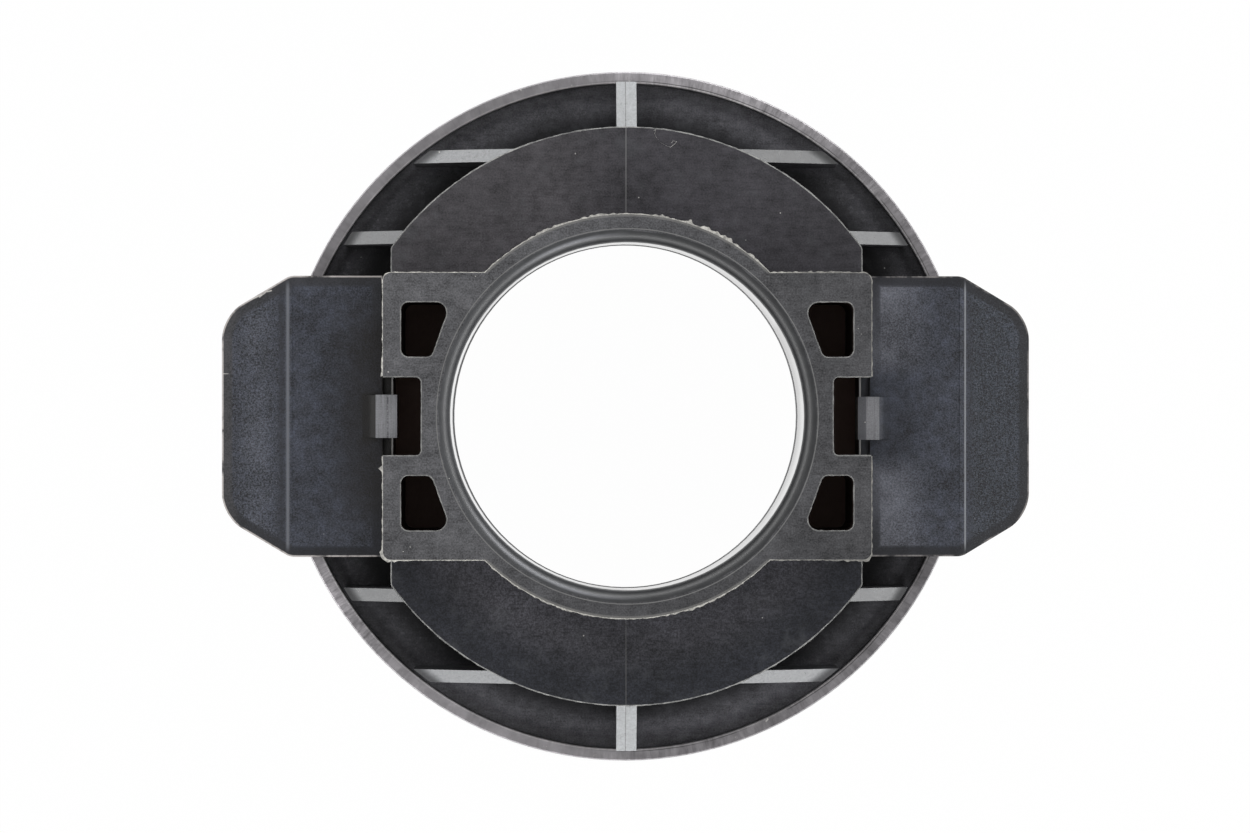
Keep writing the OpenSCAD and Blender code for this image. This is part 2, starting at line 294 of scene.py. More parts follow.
def moulded_plastic():
    """Black glass-filled plastic with its flow lines, haze and dust, and painted light and shade on its end
    face, drum and pocket floors.
    """
    f = Finish("moulded_black_plastic", Specular_IOR_Level=0.35)
    blotch = f.noise(0.2, 3.0, 0.6) - 0.5
    cloud = f.noise(1.0, 4.0, 0.6) - 0.5
    grain = f.noise(6.0, 3.0, 0.65) - 0.5
    flow = f.noise(1.6, 3.0, 0.6, f.join(f.x * 0.3 + f.y * 0.1, f.y * 2.4, f.z)) - 0.5
    mottle = f.ease(f.noise(3.0, 4.0, 0.7), 0.36, 0.62) - 0.5
    end = f.ease(f.z, END - 1.0, END - 0.6)
    drum = f.ease(f.z, DRUM - 0.5, DRUM - 0.2) * (1 - end)
    lower = drum * f.ease(f.y, 4.0, -12.0)
    # painted light: the end face is painted lighter on the left and darker on the right and towards the
    # bottom
    lean = 0.24 * f.ease(f.x, 4.0, -18.0) - 0.15 * f.ease(f.x, 8.0, 20.0) - 0.3 * f.ease(f.y, -8.0, -18.0)
    tint = f.mix(end, BODY_BLACK, f.shade(END_FACE, 1 + lean))
    tint = drum_face(f, pocket_floor(f, tint), drum, lower)
    level = (1 + 1.3 * blotch + 1.3 * cloud + (1.9 + 0.9 * end) * grain + 0.8 * flow).most(0.25)
    base = f.shade(tint, level * (1 + 0.7 * lower * mottle))
    haze = f.ease(f.noise(0.45, 4.0, 0.65), 0.52, 0.72)
    base = f.mix(haze * 0.25, base, PALE_HAZE)
    base = moulding_marks(f, base, end, lower)
    grains = specks(f, 0.55, 0.05, 0.58) * f.ease(f.nz, 0.7, 0.9)
    base = f.mix(grains * 0.9, base, SPECK_PALE)
    rough = 0.5 + 0.25 * cloud - 0.2 * grain
    return f.wear(Base_Color=base, Roughness=rough, Normal=f.bump(grain + 0.5 * flow, 0.014))


LEAD_SHADED_RIGHT = (0.030, 0.031, 0.033)
LEAD_LIT_LEFT = (0.060, 0.062, 0.066)
LEAD_HIGHLIGHT = (0.40, 0.407, 0.44)
# Where highlights are painted on the lead-in, in radians round the axis: upper left and lower left
HIGHLIGHT_ABOVE, HIGHLIGHT_BELOW = 1.92, -2.12


def guide_land():
    """The burnished lead-in and wall of the bore, painted lighter on the left as painted light, with painted
    highlights on the lead-in.
    """
    f = Finish("burnished_bore_plastic_painted_highlight", Specular_IOR_Level=0.7)
    turn = f.turn()
    rings = f.noise(6.0, 2.0, 0.6, f.join(f.r, f.z, turn)) - 0.5
    cloud = f.noise(0.7, 3.0, 0.6) - 0.5
    wall = f.ease(f.z, LEAD + 0.1, LEAD - 0.1)
    # painted light: the lead-in is painted lighter on the left and darker on the right
    tint = f.mix(f.ease(f.x, 8.0, -14.0), LEAD_SHADED_RIGHT, LEAD_LIT_LEFT)
    base = f.shade(tint, (1 + 0.8 * cloud + 0.3 * rings).most(0.3))
    # painted highlights: two pale patches on the lead-in, at the upper left and the lower left
    above = f.ease(abs(turn - HIGHLIGHT_ABOVE), 0.4, 0.0)
    below = f.ease(abs(turn - HIGHLIGHT_BELOW), 0.7, 0.15)
    painted_highlight = above.most(below) * f.band(f.r, 16.92, 17.08, 0.2)
    base = f.mix(painted_highlight * 0.9, base, LEAD_HIGHLIGHT)
    rough = 0.38 - 0.28 * wall + 0.06 * cloud
    polish = wall * f.ease(f.z, 31.0, 38.0) * (1 - 0.4 * f.ease(abs(f.y), 6.0, 14.0))
    return f.wear(Base_Color=base, Roughness=rough, Coat_Weight=polish, Normal=f.bump(rings, 0.0003))


FOOT_REFLECTION_LEFT = (0.12, 0.12, 0.123)
FOOT_REFLECTION_RIGHT = (0.32, 0.32, 0.325)


def bore_foot():
    """The dull foot of the bore, below the part that the guide tube polishes, painted pale as a painted
    reflection of the white paper, paler on the right.
    """
    f = Finish("dull_bore_plastic_painted_reflection", Specular_IOR_Level=0.06)
    cloud = f.noise(0.9, 3.0, 0.6)
    # painted reflection: the foot is painted pale grey for the white paper it mirrors, paler on the right
    tint = f.mix(f.ease(f.x, 4.0, 11.0), FOOT_REFLECTION_LEFT, FOOT_REFLECTION_RIGHT)
    base = f.shade(tint, 0.6 + 0.8 * cloud)
    return f.wear(Base_Color=base, Roughness=0.5 + 0.2 * cloud, Normal=f.bump(f.noise(6.0, 2.0), 0.005))


RIB_HIGHLIGHT = (0.215, 0.222, 0.232)
WEB_HIGHLIGHT = (0.362, 0.377, 0.390)
RIB_TIP_SHADE = (0.03, 0.03, 0.033)
PARTING_LINE = (0.06, 0.06, 0.062)


def rib_crown():
    """The smooth tops of the ribs, painted pale as a painted highlight, with painted shade at their tips, on
    the inner pair and on the upper right rib.
    """
    f = Finish("rib_crown_plastic_painted_highlight", Specular_IOR_Level=0.9)
    along = f.noise(1.2, 3.0, 0.6) - 0.5
    fine = f.noise(4.2, 3.0, 0.7) - 0.5
    web = f.ease(abs(f.x), 1.2, 0.9)
    line = f.band(f.x, -0.125, -0.055, 0.035)
    # painted highlight: the crowns and the web are painted pale for the lamps they reflect
    tint = f.mix(web, RIB_HIGHLIGHT, WEB_HIGHLIGHT)
    # painted shade: the ribs' outer ends, where they curve down, are painted dark
    tip = f.ease(f.r, 30.4, 31.3) * (1 - web)
    tint = f.mix(tip * 0.9, tint, RIB_TIP_SHADE)
    # painted shade: the inner pair of ribs and the upper right rib are painted darker, and dull carries this
    # painted shade
    inner = f.ease(abs(f.y), 22.0, 20.0) * (1 - web)
    upper_right = f.ease(f.x, 3.0, 8.0) * f.ease(f.y, 20.0, 23.0) * (1 - web)
    dull = 1.05 - 0.62 * inner - 0.8 * upper_right
    base = f.shade(tint, (1 + 0.7 * along + 1.0 * fine) * dull)
    base = f.mix(line * (0.55 + 0.8 * f.noise(0.9, 2.0)).least(1.0), base, PARTING_LINE)
    return f.wear(Base_Color=base, Roughness=0.3 + 0.2 * along + 0.5 * tip, Normal=f.bump(fine, 0.006))


def pale_edge(name, dark, light):
    """Thin edges where the skin of the moulding is rubbed pale."""
    f = Finish(name, Specular_IOR_Level=0.4)
    patch = f.noise(1.1, 4.0, 0.65)
    fine = f.noise(8.0, 2.0, 0.6)
    base = f.mix(f.ease(patch + 0.4 * fine, 0.52, 0.9), (dark, dark, dark), (light, light, light * 0.97))
    return f.wear(Base_Color=base, Roughness=0.45 + 0.2 * fine, Normal=f.bump(fine, 0.02))


FLASH_DULL = (0.27, 0.265, 0.25)
FLASH_PALE = (0.72, 0.70, 0.65)


def flash():
    """Ragged flash left on the mould's parting edges, painted darker on the right as painted shade."""
    f = Finish("moulding_flash", Specular_IOR_Level=0.4)
    patch = f.ease(f.noise(2.2, 4.0, 0.65), 0.3, 0.7)
    base = f.mix(patch, FLASH_DULL, FLASH_PALE)
    # painted shade: the flash is painted darker on the right
    base = f.shade(base, 1 - 0.5 * f.ease(f.x, 12.0, 17.0))
    return f.wear(Base_Color=base, Roughness=0.45 + 0.25 * patch, Normal=f.bump(f.noise(12.0, 2.0), 0.02))


# Tones of the phosphate coat and of the steel under it, with the painted light and shade on them
COAT_DARK = (0.033, 0.036, 0.047)
COAT_PALE = (0.043, 0.048, 0.065)
CRYSTAL_SPARK = (0.160, 0.170, 0.198)
LEFT_WING_DARK = (0.030, 0.033, 0.044)
LEFT_WING_LIT_PALE = (0.056, 0.060, 0.074)
LEFT_WING_END_LIT = (0.062, 0.060, 0.063)
RIGHT_WING_SHADE = (0.017, 0.020, 0.026)
LIGHT_BY_RIGHT_LUG = (0.150, 0.155, 0.180)
ROLLED_DARK = (0.008, 0.008, 0.010)
ROLLED_PALE = (0.026, 0.026, 0.029)
LUG_SHADOW_BROWN = (0.013, 0.011, 0.010)
FOLD_DARK = (0.016, 0.017, 0.022)
CREASE_HIGHLIGHT_LEFT = (0.172, 0.180, 0.203)
CREASE_HIGHLIGHT_RIGHT = (0.31, 0.32, 0.34)
RUBBED_AND_LIT_EDGE = (0.62, 0.58, 0.56)
INNER_EDGE_HIGHLIGHT = (0.6, 0.59, 0.57)
SHEARED_STEEL = (0.16, 0.15, 0.145)
SCRATCHED_STEEL = (0.62, 0.60, 0.57)
KNEE_SHADE_LEFT = (0.012, 0.011, 0.010)
KNEE_SHADE_RIGHT = (0.035, 0.037, 0.044)
TUCK_SHADE_LEFT = (0.010, 0.009, 0.008)
TUCK_SHADE_RIGHT = (0.026, 0.027, 0.031)
TAB_GREY = (0.18, 0.181, 0.192)
TAB_TORN = (0.055, 0.056, 0.063)
PLATE_DUST = (0.36, 0.37, 0.38)
# Scratches on the left plate, in millimetres: start, end and width
SCRATCHES = [((-35.79, 11.10), (-34.69, 11.54), 0.10), ((-34.89, 11.34), (-34.34, 11.74), 0.07),
             ((-34.34, 11.80), (-33.74, 11.94), 0.08), ((-38.4, 4.05), (-37.9, 4.05), 0.04)]


def coat_tint(f, left, rolled, outer, by_lug, cloud):
    """The coat's tone under its crystals: painted light beside the right lug, on the left wing and on its
    end, painted shade on the right wing, dark on the rolled edge.
    """
    side = abs(f.x)
    tint = f.mix(f.ease(cloud, -0.2, 0.25), COAT_DARK, COAT_PALE)
    patch = f.ease(f.noise(0.4, 3.0, 0.6), 0.38, 0.6)
    # the left wing's outer part is mottled, and painted lighter as painted light
    left_wing = f.mix(f.band(side, 34.0, 36.4, 0.9), LEFT_WING_DARK, LEFT_WING_LIT_PALE)
    tint = f.mix(left * outer * (0.35 + 0.5 * patch), tint, left_wing)
    # painted light: the right plate is painted paler beside its lug
    tint = f.mix(by_lug * 0.85 * f.ease(abs(f.y), 3.0, 6.5), tint, LIGHT_BY_RIGHT_LUG)
    # painted shade: the right wing's outer part is painted darker
    tint = f.mix(outer * (1 - left) * 0.8, tint, RIGHT_WING_SHADE)
    edge = f.mix(left * f.ease(f.y, -9.0, -6.0), ROLLED_DARK, ROLLED_PALE)
    tint = f.mix(rolled.least(0.92), tint, edge)
    # painted light: the rolled end of the left wing is painted paler
    return f.mix(f.ease(side, 36.6, 37.6) * rolled * left * 0.6, tint, LEFT_WING_END_LIT)


def plate_folds(f, base, left):
    """The painted shadow of the left lug on its plate, and the painted shade and the painted highlight of the
    crease along the bend.
    """
    side = abs(f.x)
    facing_up = f.ease(f.nz, 0.8, 0.9)
    # painted shadow: a dark brown patch beside the left lug, where the lug shades the plate
    lug_shadow = f.ease(f.x, -29.5, -24.5) * f.ease(f.x, 0.0, -20.0) * f.ease(abs(f.y), 13.0, 7.0)
    base = f.mix(lug_shadow * 0.72, base, LUG_SHADOW_BROWN)
    fold_shade = f.band(side, 32.5, 33.0, 0.35) * facing_up
    base = f.mix(fold_shade * (0.45 + 0.3 * left), base, FOLD_DARK)
    # painted highlight: a pale line along the bend's crease
    wide = f.band(side, 32.03, 32.31, 0.13) * left
    thin = f.band(f.x, 32.21, 32.35, 0.06)
    crease_highlight = wide.most(thin) * facing_up * f.ease(abs(f.y), 13.1, 11.9)
    return f.mix(crease_highlight * 0.85, base, f.mix(left, CREASE_HIGHLIGHT_RIGHT, CREASE_HIGHLIGHT_LEFT))


def plate_edges(f, base, left, rolled):
    """The rubbed lip of the rolled edge, painted stronger on the left as painted light, the painted highlight
    on the edge beside the lug and the bare sheared sides.
    """
    rubbed = f.ease(rolled, 0.88, 0.93) * f.ease(f.noise(0.5, 4.0, 0.65) + 0.1 * left, 0.4, 0.62)
    # the rubbed lip is wear, painted stronger on the left plate as painted light
    base = f.mix(rubbed * (0.35 + 0.5 * left), base, RUBBED_AND_LIT_EDGE)
    # painted highlight: a pale line on the plate's edge beside the lug, inside the lug's shade
    inner_edge_highlight = f.band(abs(f.x), 22.2, 22.34, 0.03) * f.ease(f.nz, 0.5, 0.8) * f.ease(f.z, 35.5, 35.0)
    base = f.mix(inner_edge_highlight * 0.9, base, INNER_EDGE_HIGHLIGHT)
    streaks = f.noise(2.2, 3.0, 0.6, f.join(f.x, f.y, f.z * 0.12))
    return f.mix(f.ease(f.nz, 0.8, 0.4) * 0.7, base, f.shade(SHEARED_STEEL, 0.4 + 1.2 * streaks))


def tab_foot(f, base, left):
    """Painted shade in the knee of the tab's bend, and on the strip that is tucked under the lug."""
    side = abs(f.x)
    # painted shade in the knee of the bend, darker on the left plate
    knee = f.band(side, 23.62, 25.1, 0.04) * f.ease(abs(f.y + 0.1), 2.4, 2.2)
    base = f.mix(knee * (0.3 + 0.55 * left), base, f.mix(left, KNEE_SHADE_RIGHT, KNEE_SHADE_LEFT))
    # painted shade on the strip under the lug, darker on the left plate
    tuck = f.ease(side, 23.35, 23.15) * f.ease(side, 22.36, 22.42)
    return f.mix(tuck * 0.75, base, f.mix(left, TUCK_SHADE_RIGHT, TUCK_SHADE_LEFT))


def tab_top(f, left):
    """The tab's sheared top: drawn lines, a torn strip that shows dark, and painted light on the left tab."""
    lines = f.noise(3.6, 3.0, 0.7, f.join(f.x, f.y * 0.03, 0.0)) - 0.5
    rub = f.noise(7.0, 2.0, 0.6) - 0.5
    dots = f.ease(f.noise(4.5, 2.0, 0.6), 0.35, 0.6)
    left_strip = f.band(abs(f.x), 22.40, 22.56, 0.06) * left * dots
    torn = left_strip.most(f.ease(f.x, 22.55, 22.4) * (1 - left))
    # painted light: the left tab's top is painted a fifth lighter
    tint = f.shade(TAB_GREY, (1 + 1.6 * lines + 0.9 * rub + 0.2 * left).most(0.3))
    return f.mix(torn * (0.85 + 0.6 * rub).most(0.0).least(1.0), tint, TAB_TORN)


def phosphated_steel():
    """Dark phosphate coat with blue-grey crystals, rubbed on the rolled edge and bare where sheared, with
    painted light and shade beside the lugs, on the wings, along the bend and on the tabs.
    """
    f = Finish("phosphated_steel", Specular_IOR_Level=0.4)
    rolled = f.node("ShaderNodeAttribute", {"attribute_name": "rolled"}, output="Fac")
    left = f.ease(f.x, 5.0, -5.0)
    outer = f.ease(abs(f.x), 32.5, 33.3)
    by_lug = f.ease(f.x, 30.0, 24.0) * (1 - left)
    blotch = f.noise(0.2, 4.0, 0.62) - 0.5
    cloud = f.noise(1.0, 4.0, 0.65) - 0.5
    crystal = f.ease(f.noise(6.0, 3.0, 0.75), 0.33, 0.67) - 0.5
    busy = (1 - 0.7 * rolled) * (1 - 0.45 * by_lug)
    grit = 1.5 * cloud + 1.4 * crystal + (1.5 - 0.8 * left) * outer * crystal
    level = (1 + 2.0 * blotch + busy * grit).most(0.12)
    base = f.shade(coat_tint(f, left, rolled, outer, by_lug, cloud), level)
    spark = f.ease(f.noise(10.0, 2.0, 0.6), 0.57, 0.70) * busy
    base = f.mix(spark * (0.25 + 0.4 * outer), base, CRYSTAL_SPARK)
    base = plate_folds(f, base, left)
    base = plate_edges(f, base, left, rolled)
    base = tab_foot(f, base, left)
    base = f.mix(f.ease(f.z, 38.0, 38.3), base, tab_top(f, left))
    for start, end, width in SCRATCHES:
        scratch = f.stroke(start, end, width) * f.ease(f.nz, 0.5, 0.8)
        base = f.mix(scratch * 0.85, base, SCRATCHED_STEEL)
    base = f.mix(specks(f, 0.6, 0.045, 0.60) * 0.6, base, PLATE_DUST)
    rough = 0.56 + 0.25 * cloud - 0.1 * spark
    return f.wear(Base_Color=base, Roughness=rough, Normal=f.bump(busy * (crystal + 0.4 * cloud), 0.015))


def dust():
    """Pale grains and hairs that lie on the part."""
    f = Finish("pale_dust", Specular_IOR_Level=0.2)
    tone = f.noise(3.0, 2.0)
    base = f.shade((0.55, 0.54, 0.52), 0.5 + 0.8 * tone)
    return f.wear(Base_Color=base, Roughness=0.7 + 0.2 * tone, Normal=f.bump(tone, 0.01))


# Tones of the cup's wall and of its sheared rim
CUP_WALL = (0.26, 0.26, 0.265)
RIM_EDGE = (0.33, 0.316, 0.33)
RIM_LIP = (0.46, 0.445, 0.45)
RIM_GROOVE = (0.035, 0.034, 0.034)
RIM_NICK = (0.75, 0.73, 0.70)


def sheared_rim(f, marks, coarse):
    """The cup's sheared edge: painted lighter at its lower left and along its top and darker at its lower
    right as painted light, with chatter marks and a broken groove on the right.
    """
    turn = f.turn()
    lower_left = f.ease(f.x, -20.0, -25.0) * f.ease(f.y, -4.0, -8.0)
    # painted light: the rim is painted lighter at its lower left, far left and along its top, and darker at
    # its lower right
    lean = 1.12 - 0.2 * f.ease(f.y, 4.0, -4.0) * (2 * f.ease(f.x, -12.0, 12.0) - 1)
    lean = lean + 0.6 * f.ease(f.y, 24.0, 30.0) * f.ease(f.x, -8.0, 3.0)
    lean = lean + 0.5 * f.ease(f.x, -25.5, -28.5) * f.ease(f.y, 0.0, -6.0)
    chatter = 0.4 + 0.8 * f.ease(f.x, -10.0, 6.0) + 1.5 * lower_left
    edge = f.mix(f.band(f.r, 32.16, 32.3, 0.05), RIM_EDGE, RIM_LIP)
    edge = f.shade(edge, lean * (1 + chatter * marks + 0.9 * coarse).most(0.2))
    broken = f.ease(f.noise(0.16, 2.0), 0.38, 0.48) * f.ease(f.x, -6.0, 4.0)
    groove = f.band(f.r + 0.15 * coarse, 32.31, 32.4, 0.05) * broken
    edge = f.mix(groove * 0.75, edge, RIM_GROOVE)
    nick = f.ease(f.noise(1.0, 2.0, 0.6, f.join(turn * 40.0, f.r * 1.5, 0.0)), 0.68, 0.74)
    return f.mix(nick * 0.8, edge, RIM_NICK)


def cup_steel():
    """Drawn sheet with fine upright draw marks on its wall."""
    f = Finish("drawn_cup_steel", Metallic=0.6)
    marks = f.noise(1.0, 3.0, 0.7, f.join(f.turn() * 95.0, f.r * 0.6, f.z * 0.05)) - 0.5
    coarse = f.noise(0.4, 3.0, 0.6) - 0.5
    rim = f.ease(f.z, RIM - 0.4, RIM - 0.15) * f.ease(f.nz, 0.3, 0.7)
    wall = f.shade(CUP_WALL, 1 + 0.6 * marks + 0.6 * coarse)
    base = f.mix(rim, wall, sheared_rim(f, marks, coarse))
    rough = 0.45 + 0.25 * marks + 0.15 * coarse
    return f.wear(Base_Color=base, Roughness=rough, Normal=f.bump(marks, 0.03))


RACE_GREY = (0.46, 0.46, 0.47)
SPRING_GREY = (0.34, 0.33, 0.33)
OILY_SPOT = (0.30, 0.27, 0.23)


def turned_steel(name, tint, rough, lines):
    """Ground or turned steel with fine rings round the axis."""
    f = Finish(name, Metallic=1.0)
    rings = f.noise(lines, 2.0, 0.6, f.join(f.r, f.z, 0.0))
    film = f.noise(0.25, 3.0, 0.6)
    spots = f.ease(f.noise(1.6, 3.0, 0.6), 0.62, 0.8)
    base = f.shade(tint, 0.8 + 0.2 * rings + 0.15 * film)
    base = f.mix(spots * 0.25, base, OILY_SPOT)
    return f.wear(Base_Color=base, Roughness=rough + 0.12 * film + 0.08 * rings, Normal=f.bump(rings, 0.004))


def polished_ball():
    f = Finish("polished_ball_steel", Metallic=1.0)
    film = f.noise(0.5, 3.0, 0.6)
    base = f.shade((0.72, 0.72, 0.73), 0.9 + 0.2 * film)
    return f.wear(Base_Color=base, Roughness=0.06 + 0.1 * film, Normal=f.bump(f.noise(9.0, 2.0), 0.001))


def cage_plastic():
    f = Finish("cage_plastic", Specular_IOR_Level=0.4)
    cloud = f.noise(0.6, 3.0, 0.6)
    grain = f.noise(6.0, 2.0, 0.6)
    base = f.shade((0.18, 0.12, 0.06), 0.7 + 0.35 * cloud + 0.25 * grain)
    return f.wear(Base_Color=base, Roughness=0.45 + 0.2 * cloud, Normal=f.bump(grain, 0.012))


def seal_rubber():
    f = Finish("seal_rubber", Specular_IOR_Level=0.35)
    cloud = f.noise(0.7, 3.0, 0.6)
    grain = f.noise(8.0, 2.0, 0.6)
    rings = f.noise(5.0, 2.0, 0.5, f.join(f.r, 0.0, 0.0))
    base = f.shade((0.016, 0.016, 0.017), 0.6 + 0.5 * cloud + 0.4 * grain)
    return f.wear(Base_Color=base, Roughness=0.6 + 0.2 * cloud, Normal=f.bump(grain + rings, 0.015))


# Mesh work

def verts_of(geom):
    return [part for part in geom if isinstance(part, bmesh.types.BMVert)]


def edges_of(geom):
    return [part for part in geom if isinstance(part, bmesh.types.BMEdge)]


def faces_of(geom):
    return [part for part in geom if isinstance(part, bmesh.types.BMFace)]


def merged_copy(node):
    """A CAD node's mesh as a new bmesh, with its triangles joined to whole faces."""
    bm = bmesh.new()
    bm.from_mesh(nodes[node].data)
    bmesh.ops.remove_doubles(bm, verts=bm.verts, dist=MERGE)
    bmesh.ops.dissolve_limit(bm, angle_limit=FLAT, verts=bm.verts, edges=bm.edges)
    return bm


def sharp_edges(bm, test):
    """Convex edges that turn by more than the sharp angle and pass the test."""
    return [edge for edge in bm.edges
            if edge.is_manifold and edge.is_convex and edge.calc_face_angle() > SHARP and test(edge)]


def round_edges(bm, edges, width):
    bmesh.ops.bevel(bm, geom=edges, affect="EDGES", offset=width, offset_type="OFFSET", segments=2,
                    profile=0.5, material=-1, clamp_overlap=False)


def at_height(z):
    """A test for edges that lie level at a height."""
    return lambda edge: all(abs(vert.co.z - z) < LEVEL for vert in edge.verts)


def creased(edge, crisp):
    """True where the surface turns sharply or, on crisp pieces, where it turns at all beside a flat."""
    turn = edge.calc_face_angle(0.0)
    flat = any(abs(face.normal.z) > FACES_UP for face in edge.link_faces)
    return turn > SMOOTH or (crisp and flat and turn > FLAT)


def piece(bm, name, body, finishes, stands_for=(), crisp=True):
    """Shades a finished bmesh, makes it an object, hangs it on its body's empty and hides the CAD nodes it
    stands for.
    """
    bm.normal_update()
    for face in bm.faces:
        face.smooth = True
    for edge in bm.edges:
        edge.smooth = not creased(edge, crisp)
    mesh = bpy.data.meshes.new(name)
    bm.to_mesh(mesh)
    bm.free()
    for finish in finishes:
        mesh.materials.append(finish)
    obj = bpy.data.objects.new(name, mesh)
    scene.collection.objects.link(obj)
    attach(obj, body)
    if stands_for:
        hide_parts(*stands_for)


# Guide sleeve

RIB_TOP_Z = 35.8 * MM
RIB_START_R = DRUM_R - 6.0 * MM
LEAD_R = BORE_R + LEAD_ROUND
LEAD_Z = END_Z - LEAD_ROUND
PLASTIC, CROWN, LAND, FOOT = range(4)
# The dull foot of the bore ends at a slightly tilted plane
FOOT_Z = 31.65 * MM
FOOT_SLOPE = 0.085
# The flange's edge above this height is eased out to meet the cup's wall
FLANGE_Z = 28.9 * MM
FLANGE_R = 32.016 * MM
CUP_IN = 32.1 * MM
EXIT_Z = 28.0 * MM
# The ribs' sloped tops lean between these two tilts, as cosines
CROWN_TILT = math.cos(math.radians(36)), math.cos(math.radians(15))


def sleeve_finish(face):
    """Which finish a face of the sleeve carries."""
    middle = face.calc_center_median()
    in_bore = max(vert.co.xy.length for vert in face.verts) < LEAD_R + LEVEL / 2
    if in_bore and (face.normal.z < 0.999 or middle.z < LEAD_Z):
        return LAND
    steep, shallow = CROWN_TILT
    sloped = steep < face.normal.z < shallow and middle.xy.length > RIB_START_R
    flat = face.normal.z > 0.99 and abs(middle.z - RIB_TOP_Z) < 5 * LEVEL
    return CROWN if sloped or flat else PLASTIC


def moulded_sleeve(finishes):
    """The CAD's sleeve with its finishes, its flange eased out to the cup and its bore a little oval."""
    bm = merged_copy("guide_sleeve")
    for face in bm.faces:
        face.material_index = sleeve_finish(face)
    land = [face for face in bm.faces if face.material_index == LAND]
    geom = land + list({part for face in land for part in face.edges[:] + face.verts[:]})
    bmesh.ops.bisect_plane(bm, geom=geom, plane_co=(0, 0, FOOT_Z), plane_no=(FOOT_SLOPE, 0, 1))
    for face in bm.faces:
        middle = face.calc_center_median()
        if face.material_index == LAND and middle.z < FOOT_Z - FOOT_SLOPE * middle.x:
            face.material_index = FOOT
    for vert in bm.verts:
        if vert.co.z > FLANGE_Z and FLANGE_R - LEVEL < vert.co.xy.length < CUP_IN:
            vert.co.xy *= CUP_IN / vert.co.xy.length
    for vert in {vert for face in bm.faces if face.material_index == LAND for vert in face.verts}:
        share = max(0.0, (vert.co.z - EXIT_Z) / (LEAD_Z - EXIT_Z))
        vert.co.y *= 1 - OVAL * min(1.0, share)
    piece(bm, "moulded_sleeve", "carrier", finishes, ["guide_sleeve"])


# Burrs and flash on the edges of the sleeve

BURR_STEP = 0.16 * MM
BURR_WALL = 0.05 * MM
# How far from the lugs' sides an edge still counts as their outline
LUG_MARGIN = 0.8 * MM
# Heavier lumps of flash: angle round the axis, spread, both in degrees, and height in millimetres
FLASH_LUMPS = [(72.5, 0.7, 0.3), (66.5, 3, 0.14), (62, 2.2, 0.12), (58.5, 2, 0.1), (52, 2, 0.1),
               (80, 2, 0.08), (99, 5, 0.07), (113, 5, 0.1), (38, 6, 0.06), (192.3, 1.0, 0.26),
               (209.8, 1.6, 0.2), (171, 2, 0.1), (328, 3, 0.1), (250, 8, 0.06), (290, 9, 0.05)]


def flash_height(point):
    """How far the flash on the outer outline stands out at a point, in millimetres."""
    spot = point / MM
    coarse = noise.noise(spot * 0.45)
    fine = noise.noise(spot * 2.6 + Vector((7.0, 3.0, 0.0)))
    height = 0.06 + 0.08 * max(0.0, coarse) + 0.07 * fine
    angle = math.degrees(math.atan2(spot.y, spot.x)) % 360
    for centre, spread, size in FLASH_LUMPS:
        height += 1.5 * size * math.exp(-((angle - centre) / spread) ** 2) * (0.7 + 1.2 * fine)
    return max(0.02, height)


def burr_height(point):
    """How far the fine burr on a clean edge stands out at a point, in millimetres."""
    spot = point / MM
    return max(0.03, 0.085 + 0.04 * noise.noise(spot * 0.9) + 0.03 * noise.noise(spot * 3.1))


def on_outline(edge):
    """True for the outer outline of the end face, false for its core-outs, notches and bore."""
    middle = (edge.verts[0].co + edge.verts[1].co) / 2
    side = min(edge.link_faces, key=lambda face: face.normal.z).normal
    on_ring = middle.xy.length < TUBE_R + BURR_WALL
    on_lug = abs(middle.x) > LUG_X - LUG_MARGIN or abs(middle.y) > LUG_Y - LUG_MARGIN
    return middle.xy.dot(side.xy) > 0 and (on_ring or on_lug)


def burr_ribbon(name, choose, reach_at, finish):
    """A thin ragged ribbon that leans out from the chosen edges of the sleeve."""
    sleeve = merged_copy("guide_sleeve")
    bm = bmesh.new()
    outward = bm.verts.layers.float_vector.new("outward")
    copies = {}
    for edge in sharp_edges(sleeve, choose):
        side = min(edge.link_faces, key=lambda face: face.normal.z).normal
        for vert in edge.verts:
            if vert not in copies:
                copies[vert] = bm.verts.new(vert.co)
            copies[vert][outward] = copies[vert][outward] + Vector((side.x, side.y, 0))
        bm.edges.new([copies[vert] for vert in edge.verts])
    sleeve.free()
    for edge in list(bm.edges):
        cuts = int(edge.calc_length() / BURR_STEP)
        if cuts:
            bmesh.ops.subdivide_edges(bm, edges=[edge], cuts=cuts)
    made = bmesh.ops.extrude_edge_only(bm, edges=bm.edges[:])
    for vert in verts_of(made["geom"]):
        reach = reach_at(vert.co) * MM
        vert.co += vert[outward].normalized() * reach + Vector((0, 0, reach * 0.5))
    bmesh.ops.recalc_face_normals(bm, faces=bm.faces)
    bmesh.ops.solidify(bm, geom=bm.faces[:], thickness=BURR_WALL)
    piece(bm, name, "carrier", [finish])


# Fork plates

# How far the rolled edge falls, in millimetres
ROLL_DEPTH = 0.09
# The rolled band's steps, in millimetres: width, what is left of the fall, and how rolled the face still is
ROLL_STEPS = [(0.2, 0.06, 0.87), (0.3, 0.025, 0.86), (0.3, 0.01, 0.8), (0.18, 0.003, 0.55), (0.1, 0.0, 0.0),
              (0.05, 0.0, 0.0)]
# The plate's edge stays flat this far from the lug, but for the band along its sides
ROLL_FREE = 4.0 * MM
ROLL_WIDTH = 1.2 * MM
CORNER_STEPS = 10
SHOULDER_CUT = 0.41 * MM
WING_CUT = 2.17 * MM
CHAMFER_X = BEND_X - 0.25 * MM
# The strip under the lug lies lower, past a short slope
TUCK = 0.25 * MM
TUCK_SLOPE = 0.05 * MM
# The tab's flat foot between the slot's end and the bend
TAB_FOOT = 0.4 * MM
